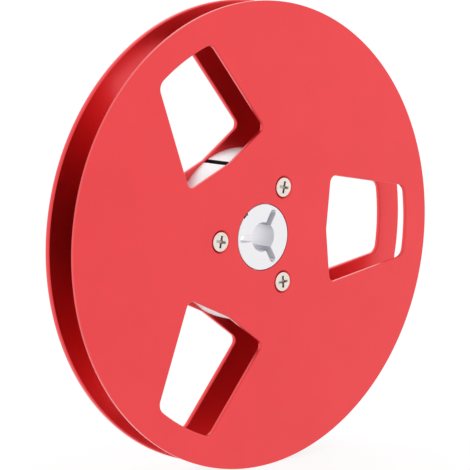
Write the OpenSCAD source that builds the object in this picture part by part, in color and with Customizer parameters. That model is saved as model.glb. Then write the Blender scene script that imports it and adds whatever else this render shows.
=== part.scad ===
// Open tape reel: two windowed sheet flanges screwed to a turned hub.
// The reel stands on edge with its axis along Y, and its front flange faces -Y.
// The origin is the middle of the bore, halfway between the flanges.
// Inside the modules the axis is Z with the front at +Z, and stand_up() turns each piece.

/* [Reel] */
// Diameter of both flanges
reel_d = 127; // [120:0.5:180]
// Width over the outer faces of the two flanges
reel_w = 12; // [10.5:0.1:16]
// Thickness of one flange
flange_t = 1.3; // [1.2:0.05:2]
// 45 degree chamfer round the rim and the windows of a flange
edge_chamfer = 0.3; // [0.1:0.05:0.4]

/* [Windows] */
// Number of windows in each flange
window_count = 3; // [2:1:4]
// Width of the solid band between the windows and the rim
rim_band = 8; // [5:0.5:12]
// Distance that the inner edge of a window keeps from the drum of the hub
window_land = 0.3; // [0.1:0.1:3]
// Width of a window across its two inner corners
window_w = 30.4; // [24:0.2:34]
// Angle by which each half of the inner edge leans back from its middle point
inner_lean = 5.9; // [1:0.1:12]
// Angle by which each side of a window leans in towards the rim
side_lean = 9.6; // [2:0.1:14]
// Radius of the two corners near the hub
inner_corner_r = 1.3; // [0.8:0.1:3]
// Radius of the two corners near the rim
outer_corner_r = 2.8; // [1:0.1:5]

/* [Hub] */
// Diameter of the drum that the tape is wound on
drum_d = 47; // [42:0.5:60]
// Diameter of the spigots that come through the flanges
spigot_d = 17.9; // [17.2:0.1:20]
// Radial clearance between a spigot and its flange
spigot_fit = 0.1; // [0.05:0.01:0.2]
// Chamfer on the end of a spigot and on the hole round it
spigot_chamfer = 0.15; // [0.05:0.05:0.3]
// Diameter of the bore that goes on the spindle
bore_d = 8; // [7.6:0.1:8.6]
// Width of the three keyways that open into the bore
keyway_w = 1.9; // [1.5:0.05:2]
// Distance from the axis to the round end of a keyway
keyway_reach = 8.15; // [6.5:0.05:8.3]

/* [Threading slit] */
// Width of the slit that holds the end of the tape
slit_w = 1.6; // [1:0.1:2]
// Direction in which the slit runs out through the drum
slit_angle = 109.5; // [100:0.5:130]
// Distance by which the slit passes the axis
slit_offset = 3.8; // [2:0.1:5]
// Depth of the notch that the slit leaves in the edge of a spigot
slit_notch = 0.45; // [0.2:0.05:1]

/* [Screws] */
// Diameter of the circle that the screws stand on
screw_circle_d = 30; // [28:0.5:34]
// Direction of the first screw and keyway, from +X towards +Z
screw_angle = 60; // [40:1:80]
// Diameter over the thread
screw_d = 3; // [2.5:0.1:3.4]
// Length of a screw over its head
screw_l = 4.8; // [4:0.1:5]
// Diameter of the countersunk head
head_d = 5.3; // [4.8:0.1:5.6]
// Height of the straight rim on the head
head_rim_h = 0.65; // [0.4:0.05:0.8]
// Chamfer on the top edge of the head
head_chamfer = 0.2; // [0.05:0.05:0.3]
// Gap all round between the head's rim and its seat in the flange
seat_gap = 0.45; // [0.2:0.05:0.6]
// Chamfer on the mouth of the seat
seat_chamfer = 0.35; // [0.1:0.05:0.45]
// Clearance between the screw and its hole and cone
screw_fit = 0.05; // [0.02:0.01:0.1]
// Width over two opposite wings of the cross recess
recess_d = 3.4; // [2.6:0.1:3.8]
// Width of one wing
recess_wing_w = 0.75; // [0.5:0.05:0.9]
// Depth of the cross recess
recess_depth = 1.3; // [0.8:0.1:1.6]

/* [Hidden] */

$fn = 96;

// Overlap that carries a cut past the face it opens
past = 0.05;
// Length beyond every edge of the reel
far = 2 * reel_d;
// Size of the wedge that a rounded corner is cut from, in corner radii
corner_reach = 2;
// Number of screws on each side, and of keyways
screw_count = 3;
// Turn of each cross recess, as the screws happened to stop
front_recess_turn = [-12, -12, 3];
rear_recess_turn = [25, -31, 8];
// Share of the recess that its tapered sides lose from mouth to floor
recess_taper = 0.45;
// Diameter of the core of the recess as a share of its width
recess_core = 0.56;

reel_r = reel_d / 2;
drum_r = drum_d / 2;
spigot_r = spigot_d / 2;
gap_w = reel_w - 2 * flange_t;
window_outer_r = reel_r - rim_band;
window_inner_x = drum_r + window_land;
screw_circle_r = screw_circle_d / 2;
head_r = head_d / 2;
thread_hole_r = screw_d / 2;
thread_r = thread_hole_r - screw_fit;

// Inner half edge and side of a window as lines: direction of the outward normal and distance
inner_normal = 180 - inner_lean;
inner_distance = -window_inner_x * cos(inner_lean);
corner_x = window_inner_x + window_w / 2 * tan(inner_lean);
side_normal = 90 - side_lean;
side_distance = corner_x * cos(side_normal) + window_w / 2 * sin(side_normal);

// Point where two lines meet, each given by its normal's direction and its distance
function meet(a, da, b, db) =
    [da * sin(b) - db * sin(a), db * cos(a) - da * cos(b)] / sin(b - a);

function unit(a) = [cos(a), sin(a)];

inner_corner = meet(inner_normal, inner_distance - inner_corner_r,
                    side_normal, side_distance - inner_corner_r);
// The outer corner's centre lies on a line beside the window's side and touches the outer arc
outer_corner_along = sqrt(pow(window_outer_r - outer_corner_r, 2)
                          - pow(side_distance - outer_corner_r, 2));
outer_corner = (side_distance - outer_corner_r) * unit(side_normal)
               + outer_corner_along * unit(side_normal - 90);
outer_corner_angle = atan2(outer_corner[1], outer_corner[0]);

module stand_up() {
    rotate([90, 0, 0]) children();
}

module around(count, first) {
    for (i = [0 : count - 1])
        rotate([0, 0, first + i * 360 / count]) children();
}

// Everything on the inner side of a line, whose edge grows from low to high
module line_side(normal, distance, low, high, h) {
    rotate([0, 0, normal])
        rotate([90, 0, 0])
            linear_extrude(height = far, center = true)
                polygon([[-far, 0], [distance + low, 0], [distance + high, h], [-far, h]]);
}

// What a rounded corner takes off a sharp one, with a radius that grows with the edges
module corner_waste(centre, r, from, to, low, high, h) {
    reach = corner_reach * (r + edge_chamfer);
    translate(centre)
        difference() {
            translate([0, 0, -past])
                linear_extrude(height = h + 2 * past)
                    polygon([[0, 0], reach * unit(from), reach * (unit(from) + unit(to)),
                             reach * unit(to)]);
            cylinder(h = h, r1 = r + low, r2 = r + high);
        }
}

module half_window_sides(low, high, h) {
    intersection() {
        line_side(inner_normal, inner_distance, low, high, h);
        line_side(side_normal, side_distance, low, high, h);
    }
}

module half_window_corners(low, high, h) {
    corner_waste(inner_corner, inner_corner_r, side_normal, inner_normal, low, high, h);
    corner_waste(outer_corner, outer_corner_r, outer_corner_angle, side_normal, low, high, h);
}

// Solid with the outline of a window, grown by low at its foot and by high at its top
module window_block(low, high, h) {
    difference() {
        intersection() {
            cylinder(h = h, r1 = window_outer_r + low, r2 = window_outer_r + high);
            half_window_sides(low, high, h);
            mirror([0, 1, 0]) half_window_sides(low, high, h);
        }
        half_window_corners(low, high, h);
        mirror([0, 1, 0]) half_window_corners(low, high, h);
    }
}

module window_cut() {
    translate([0, 0, -past]) window_block(0, 0, flange_t + 2 * past);
    for (side = [0, 1])
        translate([0, 0, side * flange_t])
            mirror([0, 0, 1 - side])
                translate([0, 0, -edge_chamfer - past])
                    window_block(-past, edge_chamfer + past, edge_chamfer + 2 * past);
}

// Space that one screw takes, from the outer face of a flange down into the hub
module screw_hole() {
    cone_top_r = head_r + screw_fit;
    seat_r = head_r + seat_gap;
    translate([0, 0, -seat_chamfer])
        cylinder(h = seat_chamfer + past, r1 = seat_r, r2 = seat_r + seat_chamfer + past);
    translate([0, 0, -head_rim_h])
        cylinder(h = head_rim_h + past, r = seat_r);
    translate([0, 0, -head_rim_h - cone_top_r + thread_hole_r])
        cylinder(h = cone_top_r - thread_hole_r, r1 = thread_hole_r, r2 = cone_top_r);
    translate([0, 0, -reel_w / 2])
        cylinder(h = reel_w / 2, r = thread_hole_r);
}

// Cross recess with its mouth at z = 0
module cross_recess() {
    for (turn = [0, 90])
        rotate([0, 0, turn])
            intersection() {
                translate([-recess_d / 2, -recess_wing_w / 2, -recess_depth])
                    cube([recess_d, recess_wing_w, recess_depth + past]);
                translate([0, 0, -recess_depth])
                    cylinder(h = recess_depth + past, r1 = recess_d / 2 * (1 - recess_taper),
                             r2 = recess_d / 2 * (1 + recess_taper * past / recess_depth));
            }
    translate([0, 0, -recess_depth])
        cylinder(h = recess_depth + past, r1 = recess_core * recess_d / 2 * (1 - recess_taper),
                 r2 = recess_core * recess_d / 2);
}

// Countersunk screw with the top of its head at z = 0
module screw(recess_turn) {
    difference() {
        rotate_extrude()
            polygon([[0, -screw_l], [thread_r, -screw_l],
                     [thread_r, -head_rim_h - head_r + thread_r], [head_r, -head_rim_h],
                     [head_r, -head_chamfer], [head_r - head_chamfer, 0], [0, 0]]);
        rotate([0, 0, recess_turn]) cross_recess();
    }
}

module flange_blank() {
    hole_r = spigot_r + spigot_fit;
    rotate_extrude()
        polygon([[hole_r, 0], [reel_r - edge_chamfer, 0], [reel_r, edge_chamfer],
                 [reel_r, flange_t - edge_chamfer], [reel_r - edge_chamfer, flange_t],
                 [hole_r + spigot_chamfer, flange_t], [hole_r, flange_t - spigot_chamfer]]);
}

module flange() {
    difference() {
        translate([0, 0, gap_w / 2])
            difference() {
                flange_blank();
                around(window_count, 0) window_cut();
            }
        screw_holes();
    }
}

module screw_holes() {
    around(screw_count, screw_angle)
        translate([screw_circle_r, 0, reel_w / 2])
            screw_hole();
}

module keyway() {
    end_r = keyway_w / 2;
    translate([0, -end_r, -reel_w / 2 - past])
        cube([keyway_reach - end_r, keyway_w, reel_w + 2 * past]);
    translate([keyway_reach - end_r, 0, -reel_w / 2 - past])
        cylinder(h = reel_w + 2 * past, r = end_r);
}

module threading_slit() {
    end_x = sqrt(pow(spigot_r - slit_notch, 2) - pow(slit_offset, 2));
    rotate([0, 0, slit_angle])
        translate([end_x, slit_offset - slit_w / 2, -reel_w / 2 - past])
            cube([drum_r, slit_w, reel_w + 2 * past]);
}

module hub_blank() {
    rotate_extrude()
        polygon([[0, -reel_w / 2], [spigot_r - spigot_chamfer, -reel_w / 2],
                 [spigot_r, -reel_w / 2 + spigot_chamfer], [spigot_r, -gap_w / 2],
                 [drum_r, -gap_w / 2], [drum_r, gap_w / 2], [spigot_r, gap_w / 2],
                 [spigot_r, reel_w / 2 - spigot_chamfer],
                 [spigot_r - spigot_chamfer, reel_w / 2], [0, reel_w / 2]]);
}

module front_flange() {
    color("#e8464a") stand_up() flange();
}

module rear_flange() {
    color("#e8464a") stand_up() mirror([0, 0, 1]) flange();
}

module hub() {
    color("#dcdce0") stand_up()
        difference() {
            hub_blank();
            translate([0, 0, -reel_w / 2 - past]) cylinder(h = reel_w + 2 * past, r = bore_d / 2);
            around(screw_count, screw_angle) keyway();
            threading_slit();
            screw_holes();
            mirror([0, 0, 1]) screw_holes();
        }
}

module placed_screw(index, recess_turn) {
    position_angle = screw_angle + index * 360 / screw_count;
    rotate([0, 0, position_angle])
        translate([screw_circle_r, 0, reel_w / 2])
            rotate([0, 0, -position_angle])
                screw(recess_turn);
}

module front_screw(index) {
    color("#cfc8be") stand_up() placed_screw(index, front_recess_turn[index]);
}

module rear_screw(index) {
    color("#cfc8be") stand_up() mirror([0, 0, 1]) placed_screw(index, rear_recess_turn[index]);
}

front_flange();
rear_flange();
hub();
front_screw(0);  // front_screw_1
front_screw(1);  // front_screw_2
front_screw(2);  // front_screw_3
rear_screw(0);  // rear_screw_1
rear_screw(1);  // rear_screw_2
rear_screw(2);  // rear_screw_3
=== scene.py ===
"""An open tape reel: two blasted red flanges screwed to a bright turned hub.

The reel stands on its rim with its axis along Y, and its front flange faces -Y.
Shapes are drawn in millimetres round the Z axis, with the front at +Z, and stood up at the end.
"""

import math

import bmesh
import bpy
from mathutils import Matrix, Vector


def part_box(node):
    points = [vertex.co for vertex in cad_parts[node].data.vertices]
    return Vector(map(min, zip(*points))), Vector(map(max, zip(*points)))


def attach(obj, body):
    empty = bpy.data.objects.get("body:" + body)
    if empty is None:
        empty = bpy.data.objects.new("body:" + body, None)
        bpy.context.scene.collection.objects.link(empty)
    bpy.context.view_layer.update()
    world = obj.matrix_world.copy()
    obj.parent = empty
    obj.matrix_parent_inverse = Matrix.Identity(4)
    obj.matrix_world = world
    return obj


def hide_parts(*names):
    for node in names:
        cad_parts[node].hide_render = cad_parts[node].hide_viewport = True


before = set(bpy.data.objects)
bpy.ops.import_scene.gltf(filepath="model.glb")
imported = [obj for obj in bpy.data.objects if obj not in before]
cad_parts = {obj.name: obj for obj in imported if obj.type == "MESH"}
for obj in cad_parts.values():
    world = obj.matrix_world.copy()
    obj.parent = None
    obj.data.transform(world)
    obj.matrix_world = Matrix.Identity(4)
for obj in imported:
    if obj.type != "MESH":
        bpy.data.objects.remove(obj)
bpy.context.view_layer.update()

MM = 0.001
BODY = "root"
TAU = math.tau


# Sizes that the frame gives, in millimetres

def box_mm(node):
    low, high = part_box(node)
    return low / MM, high / MM


flange_low, flange_high = box_mm("front_flange")
hub_low, hub_high = box_mm("hub")

REEL_R = flange_high.x
FACE = -flange_low.y
FLANGE_T = flange_high.y - flange_low.y
GAP_HALF = FACE - FLANGE_T
DRUM_R = hub_high.x

# Sizes that the frame's boxes don't give, in millimetres and degrees

RIM_EDGE_R = 0.12
RIM_INNER_EDGE_R = 0.35
WINDOW_COUNT = 3
RIM_BAND = 8
WINDOW_R = REEL_R - RIM_BAND
WINDOW_EDGE_R = 0.3
WINDOW_LAND = 0.3
WINDOW_APEX = DRUM_R + WINDOW_LAND
WINDOW_W = 30.4
INNER_LEAN = 5.9
SIDE_LEAN = 9.6
INNER_CORNER_R = 2.0
OUTER_CORNER_R = 2.8

SPIGOT_R = 8.95
SPIGOT_FIT = 0.18
SPIGOT_EDGE_R = 0.15
BORE_R = 4.0
BORE_EDGE_R = 0.15
KEYWAY_W = 1.9
KEYWAY_REACH = 8.15
DRUM_HOLE_R = 8.6
DRUM_EDGE_R = 0.1

SLIT_W = 1.6
SLIT_ANGLE = 109.5
SLIT_OFFSET = 3.8
SLIT_NOTCH = 0.25
SLIT_LIP_R = 0.15

SCREW_ANGLE = 60
SCREW_COUNT = 3
SCREW_CIRCLE_R = 15
SCREW_HOLE_R = 1.5
THREAD_R = 1.45
HEAD_R = 2.65
HEAD_RIM_H = 0.65
HEAD_EDGE_R = 0.22
SCREW_L = 4.8
TIP_EDGE_R = 0.2
SEAT_GAP = 0.6
CONE_FIT = 0.05
RECESS_D = 3.9
RECESS_WING_W = 0.8
RECESS_DEPTH = 1.1
RECESS_TAPER = 0.68
RECESS_FLOOR_NARROWER = 0.75
RECESS_CORE_D = 1.3
FRONT_RECESS_TURN = (-12, -12, 3)
REAR_RECESS_TURN = (25, -31, 8)

# How finely curves are drawn

ROUND_STEPS = 288
CORNER_STEPS = 12
EDGE_STEPS = 2
TURNED_EDGE_STEPS = 3
HOLE_STEPS = 72

# How far a cut passes the face it opens, and limits for welding, flat faces and sharp edges

PAST = 1.0
WELD = 1e-4
FLAT_COSINE = 0.9999
SHARP_DEGREES = 38

# Makes a rear piece of a front one

MIRROR = Matrix.Scale(-1, 4, (0, 0, 1))


# Outlines, as lists of points in a plane

def unit(degrees):
    angle = math.radians(degrees)
    return Vector((math.cos(angle), math.sin(angle)))


def arc(centre, radius, start, end, steps):
    return [centre + radius * unit(start + (end - start) * i / steps) for i in range(steps + 1)]


def ring(radius, steps=ROUND_STEPS):
    return arc(Vector((0, 0)), radius, 0, 360, steps)[:-1]


def turn_points(points, degrees):
    turn = Matrix.Rotation(math.radians(degrees), 2)
    return [turn @ p for p in points]


def mirrored(half):
    """A half outline above the X axis, closed by its mirror image below."""
    below = [Vector((p.x, -p.y)) for p in reversed(half)]
    return half + [p for p in below if abs(p.y) > WELD]


def meet(normal, distance, other_normal, other_distance):
    """The point where two lines cross, each given by its normal's direction and its distance."""
    a, b = unit(normal), unit(other_normal)
    return Matrix((a, b)).inverted() @ Vector((distance, other_distance))


def against_line_and_arc(normal, distance, big_r, small_r):
    """Centre of a small circle that touches a line and a big circle from inside."""
    beside = distance - small_r
    along = math.sqrt((big_r - small_r) ** 2 - beside ** 2)
    return beside * unit(normal) + along * unit(normal - 90)


def window_outline(grow):
    """Outline of the window on the +X side, moved outwards by grow."""
    inner, side = 180 - INNER_LEAN, 90 - SIDE_LEAN
    inner_distance = -WINDOW_APEX * math.cos(math.radians(INNER_LEAN))
    sharp_corner = Vector((WINDOW_APEX + WINDOW_W / 2 * math.tan(math.radians(INNER_LEAN)), WINDOW_W / 2))
    side_distance = sharp_corner.dot(unit(side))
    near = meet(inner, inner_distance - INNER_CORNER_R, side, side_distance - INNER_CORNER_R)
    outer = against_line_and_arc(side, side_distance, WINDOW_R, OUTER_CORNER_R)
    outer_angle = math.degrees(math.atan2(outer.y, outer.x))
    apex = Vector((WINDOW_APEX - grow / math.cos(math.radians(INNER_LEAN)), 0))
    half = [apex]
    half += arc(near, INNER_CORNER_R + grow, inner, side, CORNER_STEPS)
    half += arc(outer, OUTER_CORNER_R + grow, side, outer_angle, CORNER_STEPS)
    half += arc(Vector((0, 0)), WINDOW_R + grow, outer_angle, 0, 3 * CORNER_STEPS)[1:]
    return mirrored(half)


def bore_outline(grow):
    """The bore with its keyways, which point at the screws, moved outwards by grow."""
    wall, radius = KEYWAY_W / 2 + grow, BORE_R + grow
    mouth = math.degrees(math.asin(wall / radius))
    end = Vector((KEYWAY_REACH - KEYWAY_W / 2, 0))
    pitch = 360 / SCREW_COUNT
    third = arc(end, wall, -90, 90, 2 * CORNER_STEPS)
    third += arc(Vector((0, 0)), radius, mouth, pitch - mouth, 2 * CORNER_STEPS)
    return [p for i in range(SCREW_COUNT) for p in turn_points(third, SCREW_ANGLE + i * pitch)]


def slit_outline():
    """The threading slit from its blind end out past the drum, with rounded lips."""
    end_x = math.sqrt((SPIGOT_R - SLIT_NOTCH) ** 2 - SLIT_OFFSET ** 2)
    low, high = SLIT_OFFSET - SLIT_W / 2, SLIT_OFFSET + SLIT_W / 2
    outline = [Vector((end_x, high)), Vector((end_x, low))]
    for wall, side in ((low, -1), (high, 1)):
        lip_y = wall + side * SLIT_LIP_R
        lip = Vector((math.sqrt((DRUM_R - SLIT_LIP_R) ** 2 - lip_y ** 2), lip_y))
        tangent = math.degrees(math.atan2(lip.y, lip.x))
        flare = arc(lip, SLIT_LIP_R, -side * 90, tangent, CORNER_STEPS)
        flare.append(unit(tangent) * (DRUM_R + PAST))
        outline += flare if side < 0 else reversed(flare)
    return turn_points(outline, SLIT_ANGLE)


# Meshes

def welded(mesh):
    """The mesh with its seams closed and its faces pointing outwards."""
    shape = bmesh.new()
    shape.from_mesh(mesh)
    bmesh.ops.remove_doubles(shape, verts=shape.verts, dist=WELD)
    bmesh.ops.dissolve_degenerate(shape, edges=shape.edges, dist=WELD)
    bmesh.ops.recalc_face_normals(shape, faces=shape.faces)
    shape.to_mesh(mesh)
    shape.free()
    return mesh


def plate(outlines, low, high, edge_r):
    """A plate from low to high with rounded edges. The outlines are those of its two faces."""
    drawing = bpy.data.curves.new("outline", "CURVE")
    drawing.dimensions = "2D"
    drawing.fill_mode = "BOTH"
    drawing.extrude = (high - low) / 2 - edge_r
    drawing.bevel_depth = edge_r
    drawing.bevel_resolution = EDGE_STEPS
    for outline in outlines:
        spline = drawing.splines.new("POLY")
        spline.points.add(len(outline) - 1)
        spline.use_cyclic_u = True
        for point, place in zip(spline.points, outline):
            point.co = (place.x, place.y, 0, 1)
    drawn = bpy.data.objects.new("outline", drawing)
    bpy.context.scene.collection.objects.link(drawn)
    graph = bpy.context.evaluated_depsgraph_get()
    mesh = bpy.data.meshes.new_from_object(drawn.evaluated_get(graph))
    bpy.data.objects.remove(drawn)
    bpy.data.curves.remove(drawing)
    mesh.transform(Matrix.Translation((0, 0, (low + high) / 2)))
    return welded(mesh)


def turned(profile, edges, steps):
    """A turned solid from (radius, height) points, with the corners in edges rounded to their radius.

    A profile that starts off the axis closes into a ring.
    """
    shape = bmesh.new()
    corners = [shape.verts.new((r, 0, z)) for r, z in profile]
    following = corners[1:] + (corners[:1] if profile[0][0] else [])
    for pair in zip(corners, following):
        shape.edges.new(pair)
    for index, radius in edges.items():
        bmesh.ops.bevel(shape, geom=[corners[index]], offset=radius, offset_type="OFFSET",
                        affect="VERTICES", segments=TURNED_EDGE_STEPS, profile=0.5, material=-1)
    bmesh.ops.spin(shape, geom=shape.verts[:] + shape.edges[:], cent=(0, 0, 0), axis=(0, 0, 1),
                   angle=TAU, steps=steps, use_merge=True)
    mesh = bpy.data.meshes.new("turned")
    shape.to_mesh(mesh)
    shape.free()
    return welded(mesh)


def combined(mesh, tools, operation):
    """The mesh with each tool cut from it or joined to it."""
    for tool in tools:
        pair = [bpy.data.objects.new("work", m) for m in (mesh, tool)]
        for o in pair:
            bpy.context.scene.collection.objects.link(o)
        boolean = pair[0].modifiers.new("cut", "BOOLEAN")
        boolean.object = pair[1]
        boolean.operation = operation
        boolean.solver = "EXACT"
        graph = bpy.context.evaluated_depsgraph_get()
        mesh = bpy.data.meshes.new_from_object(pair[0].evaluated_get(graph))
        for o in pair:
            bpy.data.objects.remove(o)
    return welded(mesh)


def placed(mesh, place):
    """A copy of the mesh, moved."""
    copy = mesh.copy()
    copy.transform(place)
    return copy


def piece(name, mesh, material):
    """Stands the finished mesh up in metres and puts it in place of the node of the same name."""
    mesh.transform(Matrix.Scale(MM, 4) @ Matrix.Rotation(math.radians(90), 4, "X"))
    mesh.materials.clear()
    mesh.materials.append(material)
    mesh.set_sharp_from_angle(angle=math.radians(SHARP_DEGREES))
    for face in mesh.polygons:
        face.use_smooth = abs(face.normal.y) < FLAT_COSINE
    made = bpy.data.objects.new(name + "_piece", mesh)
    bpy.context.scene.collection.objects.link(made)
    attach(made, BODY)
    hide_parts(name)


def screw_places():
    pitch = 360 / SCREW_COUNT
    return [unit(SCREW_ANGLE + i * pitch) * SCREW_CIRCLE_R for i in range(SCREW_COUNT)]


def screw_hole():
    """Space that two opposite screws take through the whole reel."""
    cone_top = HEAD_R + CONE_FIT
    seat_r = HEAD_R + SEAT_GAP
    cone_foot = FACE - HEAD_RIM_H - cone_top + SCREW_HOLE_R
    half = [(SCREW_HOLE_R, 0), (SCREW_HOLE_R, cone_foot), (cone_top, FACE - HEAD_RIM_H),
            (seat_r, FACE), (seat_r, FACE + PAST), (0, FACE + PAST)]
    profile = [(r, -z) for r, z in reversed(half[1:])] + half
    return turned(profile, {}, HOLE_STEPS)


def flange(holes):
    """Sheet with rounded window edges, cut to a blank that has the rim and the middle hole.

    The blank's edges are crisp, except that its rim is rounder on the gap's side.
    """
    sheet = [ring(REEL_R + PAST)]
    sheet += [turn_points(window_outline(WINDOW_EDGE_R), i * 360 / WINDOW_COUNT)
              for i in range(WINDOW_COUNT)]
    hole_r = SPIGOT_R + SPIGOT_FIT
    blank = turned([(hole_r, GAP_HALF), (REEL_R, GAP_HALF), (REEL_R, FACE), (hole_r, FACE)],
                   {0: RIM_EDGE_R, 1: RIM_INNER_EDGE_R, 2: RIM_EDGE_R, 3: RIM_EDGE_R}, ROUND_STEPS)
    return combined(combined(plate(sheet, GAP_HALF, FACE, WINDOW_EDGE_R), [blank], "INTERSECT"),
                    holes, "DIFFERENCE")


def hub(holes):
    """The spigots with the bore in one piece, joined to the drum round it."""
    spigot = plate([ring(SPIGOT_R - SPIGOT_EDGE_R), bore_outline(BORE_EDGE_R)], -FACE, FACE, SPIGOT_EDGE_R)
    drum = plate([ring(DRUM_R - DRUM_EDGE_R), ring(DRUM_HOLE_R, HOLE_STEPS)], -GAP_HALF, GAP_HALF,
                 DRUM_EDGE_R)
    slit = plate([slit_outline()], -FACE - PAST, FACE + PAST, 0)
    return combined(combined(spigot, [drum], "UNION"), [slit] + holes, "DIFFERENCE")


def recess_wing(turn):
    """One bar of the cross recess, narrower and shorter at its floor."""
    shape = bmesh.new()
    bmesh.ops.create_cube(shape, size=1)
    bmesh.ops.scale(shape, verts=shape.verts, vec=(RECESS_D, RECESS_WING_W, RECESS_DEPTH + PAST))
    bmesh.ops.translate(shape, verts=shape.verts, vec=(0, 0, (PAST - RECESS_DEPTH) / 2))
    floor = [v for v in shape.verts if v.co.z < 0]
    bmesh.ops.scale(shape, verts=floor, vec=(RECESS_TAPER, RECESS_FLOOR_NARROWER, 1))
    bmesh.ops.rotate(shape, verts=shape.verts, matrix=Matrix.Rotation(math.radians(turn), 3, "Z"))
    mesh = bpy.data.meshes.new("wing")
    shape.to_mesh(mesh)
    shape.free()
    return mesh


def screw(recess_turn):
    """Countersunk screw with the top of its head at height 0."""
    profile = [(0, 0), (HEAD_R, 0), (HEAD_R, -HEAD_RIM_H),
               (THREAD_R, -HEAD_RIM_H - HEAD_R + THREAD_R), (THREAD_R, -SCREW_L), (0, -SCREW_L)]
    blank = turned(profile, {1: HEAD_EDGE_R, 4: TIP_EDGE_R}, HOLE_STEPS)
    core = turned([(0, -RECESS_DEPTH), (RECESS_CORE_D / 2 * RECESS_TAPER, -RECESS_DEPTH),
                   (RECESS_CORE_D / 2 * (1 + PAST * (1 - RECESS_TAPER) / RECESS_DEPTH), PAST), (0, PAST)],
                  {}, HOLE_STEPS // 2)
    cross = [recess_wing(recess_turn), recess_wing(recess_turn + 90), core]
    return combined(blank, cross, "DIFFERENCE")


# Surfaces. Sizes of patterns and the spans over which a look fades in are in millimetres.

BUMP_DEPTH = 0.02
CLOUD_DETAIL = 3.0
RING_DETAIL = 1.0

BLAST_GRAIN = 0.8
DYE_CLOUD = 14
SATIN_CLOUD = 5
RED_SPECKLE = 0.3
RED_BUMP = 0.25
RED_ROUGHNESS = (0.32, 0.36)
RED_COAT = (0.8, 1.0)
RED_COAT_ROUGHNESS = 0.3

TURNING_RING = 0.5
HUB_GRAIN = 0.4
HUB_BUMP = 0.15
HUB_ROUGHNESS = (0.42, 0.48)
END_METALLIC = 0.75
DRUM_METALLIC = 0.4
DRUM_SPAN = (SPIGOT_R + 0.5, SPIGOT_R + 1)
BORE_RADIUS_SPAN = (SPIGOT_R - 0.6, SPIGOT_R - 0.5)
BORE_DEPTH_SPAN = (FACE - 0.2, FACE - 0.1)
# Painted shade on the slit's walls: where it fades out near the drum's surface, and how far beyond the walls
# it reaches
SLIT_SHADE_SPAN = (DRUM_R - 0.15, DRUM_R - 0.05)
SLIT_SHADE_MARGIN = 0.02

PLATE_CLOUD = 1.2
PLATE_ROUGHNESS = (0.24, 0.34)
# Depths below the head's top over which the screw's painted shade fades in
RECESS_SHADE_SPAN = (FACE - 1, FACE - 0.2)


def linear(hexa):
    """Linear RGBA of an sRGB hex colour."""
    channels = [int(hexa[i:i + 2], 16) / 255 for i in (1, 3, 5)]
    return [c / 12.92 if c <= 0.04045 else ((c + 0.055) / 1.055) ** 2.4 for c in channels] + [1.0]


def add(tree, kind, inputs, **settings):
    """Adds a node. Inputs are sockets to link or plain values, by the input's name or number."""
    made = tree.nodes.new(kind)
    for name, value in settings.items():
        setattr(made, name, value)
    for name, value in inputs.items():
        if isinstance(value, bpy.types.NodeSocket):
            tree.links.new(value, made.inputs[name])
        else:
            made.inputs[name].default_value = value
    return made


def calculated(tree, operation, *values):
    """The result of a Math node on sockets or numbers."""
    return add(tree, "ShaderNodeMath", dict(enumerate(values)), operation=operation).outputs[0]


def new_material(name):
    made = bpy.data.materials.new(name)
    made.use_nodes = True
    made.node_tree.nodes.clear()
    return made, made.node_tree


def finish(tree, inputs):
    """Ends a material with a Principled shader that has these inputs."""
    shader = add(tree, "ShaderNodeBsdfPrincipled", inputs)
    add(tree, "ShaderNodeOutputMaterial", {"Surface": shader.outputs["BSDF"]})


def noise(tree, where, size, detail=2.0):
    """Noise with features of about the size given, which lies mostly between 0.3 and 0.7."""
    return add(tree, "ShaderNodeTexNoise",
               {"Vector": where, "Scale": 1 / (size * MM), "Detail": detail}).outputs["Fac"]


def remapped(tree, value, low, high, start=0.3, end=0.7):
    """The value between start and end, brought to the range from low to high."""
    return add(tree, "ShaderNodeMapRange", {
        "Value": value, "From Min": start, "From Max": end, "To Min": low, "To Max": high}).outputs["Result"]


def inside_of(tree, distance, span):
    """1 below the span, 0 above it and a short fade between."""
    start, end = span
    return remapped(tree, distance, 1, 0, start * MM, end * MM)


def blended(tree, share, first, second):
    """A colour between two, each a hex colour or a socket."""
    ends = [linear(c) if isinstance(c, str) else c for c in (first, second)]
    return add(tree, "ShaderNodeMix", {"Factor": share, 6: ends[0], 7: ends[1]}, data_type="RGBA").outputs[2]


def raised(tree, height, strength):
    """The normal of a surface with a height between 0 and 1 in bump depths."""
    return add(tree, "ShaderNodeBump",
               {"Height": height, "Strength": strength, "Distance": BUMP_DEPTH * MM}).outputs["Normal"]


def from_middle(tree, where):
    """Distance from the plane halfway between the flanges."""
    depth = add(tree, "ShaderNodeSeparateXYZ", {"Vector": where}).outputs["Y"]
    return calculated(tree, "ABSOLUTE", depth)


def anodised():
    """Sheet aluminium, bead-blasted and dyed in its anodised layer.

    The metal gives the eye a satin red, and the clear layer on it gives a pale sheen with a fine grain.
    The blasted grain of about 0.1 mm is drawn at 0.8 mm, because it would vanish between pixels.
    """
    made, tree = new_material("red_anodised_aluminium")
    where = add(tree, "ShaderNodeTexCoord", {}).outputs["Object"]
    grain = noise(tree, where, BLAST_GRAIN)
    cloud = remapped(tree, noise(tree, where, DYE_CLOUD, CLOUD_DETAIL), 0, 1)
    dye = blended(tree, cloud, "#e53238", "#ea353b")
    finish(tree, {
        "Base Color": blended(tree, remapped(tree, grain, 0, RED_SPECKLE), dye, "#da2a30"),
        "Metallic": 1.0,
        "Roughness": remapped(tree, noise(tree, where, SATIN_CLOUD), *RED_ROUGHNESS),
        "Coat Weight": remapped(tree, grain, *RED_COAT),
        "Coat Roughness": RED_COAT_ROUGHNESS,
        "Normal": raised(tree, grain, RED_BUMP)})
    return made


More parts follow.
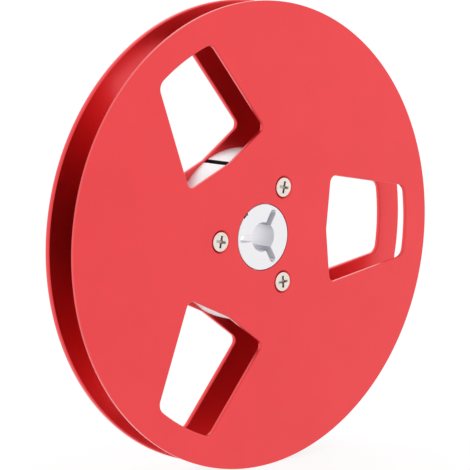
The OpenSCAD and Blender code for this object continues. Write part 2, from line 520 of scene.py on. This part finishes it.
def bright_aluminium():
    """Turned aluminium: silky on the spigots' ends, and duller and whiter on the drum.

    The bore is painted a little greyer than the ends, as shade inside the hole, and the slit's walls are
    painted dark, as shade in the narrow slit.
    The turning rings are drawn at 0.5 mm, coarser than real, because they would vanish between pixels.
    """
    made, tree = new_material("turned_aluminium")
    where = add(tree, "ShaderNodeTexCoord", {}).outputs["Object"]
    across = add(tree, "ShaderNodeVectorMath", {0: where, 1: (1, 0, 1)}, operation="MULTIPLY").outputs[0]
    radius = add(tree, "ShaderNodeVectorMath", {0: across}, operation="LENGTH").outputs["Value"]
    rings = add(tree, "ShaderNodeTexNoise",
                {"W": radius, "Scale": 1 / (TURNING_RING * MM), "Detail": RING_DETAIL},
                noise_dimensions="1D").outputs["Fac"]
    drum_start, drum_full = DRUM_SPAN
    on_drum = remapped(tree, radius, 0, 1, drum_start * MM, drum_full * MM)
    # The bore is painted a little greyer, as shade inside the hole.
    painted_bore_shade = calculated(tree, "MULTIPLY", inside_of(tree, radius, BORE_RADIUS_SPAN),
                         inside_of(tree, from_middle(tree, where), BORE_DEPTH_SPAN))
    ends = blended(tree, rings, "#f1f0f3", "#f6f5f8")
    clean = blended(tree, painted_bore_shade, blended(tree, on_drum, ends, "#fbfafc"), "#f0eff3")
    finish(tree, {
        # The slit's walls are painted dark grey, as shade in the narrow slit.
        "Base Color": blended(tree, painted_slit_shade_mask(tree, where, radius), clean, "#3a3839"),
        "Metallic": remapped(tree, on_drum, END_METALLIC, DRUM_METALLIC, 0, 1),
        "Roughness": remapped(tree, rings, *HUB_ROUGHNESS),
        "Normal": raised(tree, noise(tree, where, HUB_GRAIN), HUB_BUMP)})
    return made


def painted_slit_shade_mask(tree, where, radius):
    """1 on the slit's walls, where dark grey is painted as shade, and 0 elsewhere. The walls stand on both
    sides of a plane beside the axis.
    """
    sideways, outwards = [add(tree, "ShaderNodeVectorMath", {0: where, 1: (way.x, 0, way.y)},
                              operation="DOT_PRODUCT").outputs["Value"]
                          for way in (unit(SLIT_ANGLE + 90), unit(SLIT_ANGLE))]
    near = calculated(tree, "COMPARE", sideways, SLIT_OFFSET * MM, (SLIT_W / 2 + SLIT_SHADE_MARGIN) * MM)
    ahead = calculated(tree, "GREATER_THAN", outwards, 0.0)
    beyond = calculated(tree, "GREATER_THAN", radius, (SPIGOT_R - SLIT_NOTCH) * MM)
    along_walls = calculated(tree, "MULTIPLY", near, ahead)
    between_ends = calculated(tree, "MULTIPLY", inside_of(tree, radius, SLIT_SHADE_SPAN), beyond)
    return calculated(tree, "MULTIPLY", along_walls, between_ends)


def nickel():
    """Nickel plate on steel: a warm sheen, a little cloudy, and painted grey as shade in the pressed cross
    recess and below the head's top.
    """
    made, tree = new_material("nickel_plated_steel")
    where = add(tree, "ShaderNodeTexCoord", {}).outputs["Object"]
    cloud = noise(tree, where, PLATE_CLOUD, CLOUD_DETAIL)
    plate_colour = blended(tree, remapped(tree, cloud, 0, 1), "#ded4cc", "#eae2da")
    # Below the head's top the plating is painted grey, as shade in the cross recess and down the head's
    # sides.
    recess_shade = inside_of(tree, from_middle(tree, where), RECESS_SHADE_SPAN)
    finish(tree, {
        "Base Color": blended(tree, recess_shade, plate_colour, "#bcb4ae"),
        "Metallic": 1.0,
        "Roughness": remapped(tree, cloud, *PLATE_ROUGHNESS)})
    return made


# Camera, fitted to the photograph. It looks at the middle of the front flange's face.

IMAGE_PX = 470
FOCAL_PX = 1985.0
CENTRE_RIGHT_PX = 28.17
CENTRE_DOWN_PX = 2.1
SENSOR_MM = 36
CAMERA_DISTANCE = 536.0
CAMERA_AZIMUTH = -42.08
CAMERA_ELEVATION = 8.61
REEL_ROLL = 0.7
NEAR_CLIP_METRES = 0.01
FAR_CLIP_METRES = 100


def back_vector(azimuth, elevation):
    """Unit vector towards an azimuth and an elevation.

    Azimuth 0 is in front of the reel and 90 on its right.
    """
    turn, rise = math.radians(azimuth), math.radians(elevation)
    return Vector((math.sin(turn) * math.cos(rise), -math.cos(turn) * math.cos(rise), math.sin(rise)))


def photograph_camera():
    """The reel in the photograph has rolled a little clockwise, so the camera goes round its axis instead."""
    lens = bpy.data.cameras.new("camera")
    lens.sensor_width = SENSOR_MM
    lens.lens = FOCAL_PX / IMAGE_PX * SENSOR_MM
    lens.shift_x = -CENTRE_RIGHT_PX / IMAGE_PX
    lens.shift_y = CENTRE_DOWN_PX / IMAGE_PX
    lens.clip_start = NEAR_CLIP_METRES
    lens.clip_end = FAR_CLIP_METRES
    back = back_vector(CAMERA_AZIMUTH, CAMERA_ELEVATION)
    place = Vector((0, -FACE, 0)) + back * CAMERA_DISTANCE
    turn = (-back).to_track_quat("-Z", "Y").to_matrix().to_4x4()
    roll = Matrix.Rotation(math.radians(-REEL_ROLL), 4, "Y")
    camera = bpy.data.objects.new("camera", lens)
    camera.matrix_world = roll @ Matrix.Translation(place * MM) @ turn
    bpy.context.scene.collection.objects.link(camera)
    bpy.context.scene.camera = camera


# Studio. Each lamp is its azimuth and elevation as in back_vector, its narrowness and its strength.
# Those below the horizon stand for the light that the paper under the reel sends back.

LAMPS = {
    "front": (62, 14, 16, 3.2),
    "camera_side": (-46, 6, 8, 1.5),
    "above": (58, 81, 4, 1.75),
    "behind": (159, 28, 5, 1.8),
    "left": (-138, -8, 7, 1.4),
    "floor_behind": (180, -45, 5, 0.8),
}
FILL = 0.05
WHITE = 1.0
# Metal sees the white background in full, and this share of the lamps on top of it
LAMPS_ON_METAL = 0.07
# Share of the floor that glows white. The rest is paper that takes the reel's shadow.
FLOOR_GLOW = 0.85
FLOOR_RADIUS_METRES = 6.0
FLOOR_STEPS = 96


def lamp_strength(tree):
    """Strength of all lamps and the even fill in the direction that a ray takes.

    A lamp fades with the angle from its middle, and the narrower it is, the faster it fades.
    """
    way = add(tree, "ShaderNodeTexCoord", {}).outputs["Generated"]
    total = FILL
    for azimuth, elevation, narrowness, strength in LAMPS.values():
        along = add(tree, "ShaderNodeVectorMath", {0: way, 1: back_vector(azimuth, elevation)},
                    operation="DOT_PRODUCT").outputs["Value"]
        off = calculated(tree, "MULTIPLY_ADD", along, narrowness, -narrowness)
        total = calculated(tree, "MULTIPLY_ADD", calculated(tree, "EXPONENT", off), strength, total)
    return total


def studio_world():
    """White for the camera and for clear things, white with a little lamp for metal, lamps for the rest."""
    scene = bpy.context.scene
    scene.view_settings.view_transform = "Standard"
    scene.world = bpy.data.worlds.new("studio")
    scene.world.use_nodes = True
    tree = scene.world.node_tree
    tree.nodes.clear()
    lamps = lamp_strength(tree)
    path = add(tree, "ShaderNodeLightPath", {}).outputs
    on_metal = calculated(tree, "MULTIPLY_ADD", lamps, LAMPS_ON_METAL, WHITE)
    on_object = add(tree, "ShaderNodeMix", {0: path["Is Glossy Ray"], 2: lamps, 3: on_metal}).outputs[0]
    straight = calculated(tree, "MAXIMUM", path["Is Camera Ray"], path["Is Transmission Ray"])
    seen = add(tree, "ShaderNodeMix", {0: straight, 2: on_object, 3: WHITE}).outputs[0]
    sky = add(tree, "ShaderNodeBackground", {"Color": (1, 1, 1, 1), "Strength": seen})
    add(tree, "ShaderNodeOutputWorld", {"Surface": sky.outputs[0]})


def pale_paper():
    """White paper for the camera. Other rays pass through to the world, which is white for metal too."""
    made, tree = new_material("pale_paper")
    camera = add(tree, "ShaderNodeLightPath", {}).outputs["Is Camera Ray"]
    paper = add(tree, "ShaderNodeBsdfDiffuse", {"Color": (1, 1, 1, 1)})
    glow = add(tree, "ShaderNodeEmission", {"Color": (1, 1, 1, 1), "Strength": WHITE})
    shown = add(tree, "ShaderNodeMixShader", {0: FLOOR_GLOW, 1: paper.outputs[0], 2: glow.outputs[0]})
    clear = add(tree, "ShaderNodeBsdfTransparent", {})
    mixed = add(tree, "ShaderNodeMixShader", {0: camera, 1: clear.outputs[0], 2: shown.outputs[0]})
    add(tree, "ShaderNodeOutputMaterial", {"Surface": mixed.outputs[0]})
    return made


def paper_floor():
    """Wide round floor that the reel's rim stands on."""
    shape = bmesh.new()
    bmesh.ops.create_circle(shape, cap_ends=True, segments=FLOOR_STEPS, radius=FLOOR_RADIUS_METRES,
                            matrix=Matrix.Translation((0, 0, -REEL_R * MM)))
    mesh = bpy.data.meshes.new("floor")
    shape.to_mesh(mesh)
    shape.free()
    mesh.materials.append(pale_paper())
    floor = bpy.data.objects.new("floor", mesh)
    bpy.context.scene.collection.objects.link(floor)


photograph_camera()
studio_world()
paper_floor()

red = anodised()
silver = bright_aluminium()
plating = nickel()

holes = [placed(screw_hole(), Matrix.Translation((p.x, p.y, 0))) for p in screw_places()]
front_flange = flange(holes)
rear_flange = placed(front_flange, MIRROR)
rear_flange.flip_normals()
piece("front_flange", front_flange, red)
piece("rear_flange", rear_flange, red)
piece("hub", hub(holes), silver)
for i, place in enumerate(screw_places()):
    head = Matrix.Translation((place.x, place.y, FACE))
    front = placed(screw(FRONT_RECESS_TURN[i]), head)
    rear = placed(screw(REAR_RECESS_TURN[i]), MIRROR @ head)
    rear.flip_normals()
    piece(f"front_screw_{i + 1}", front, plating)
    piece(f"rear_screw_{i + 1}", rear, plating)
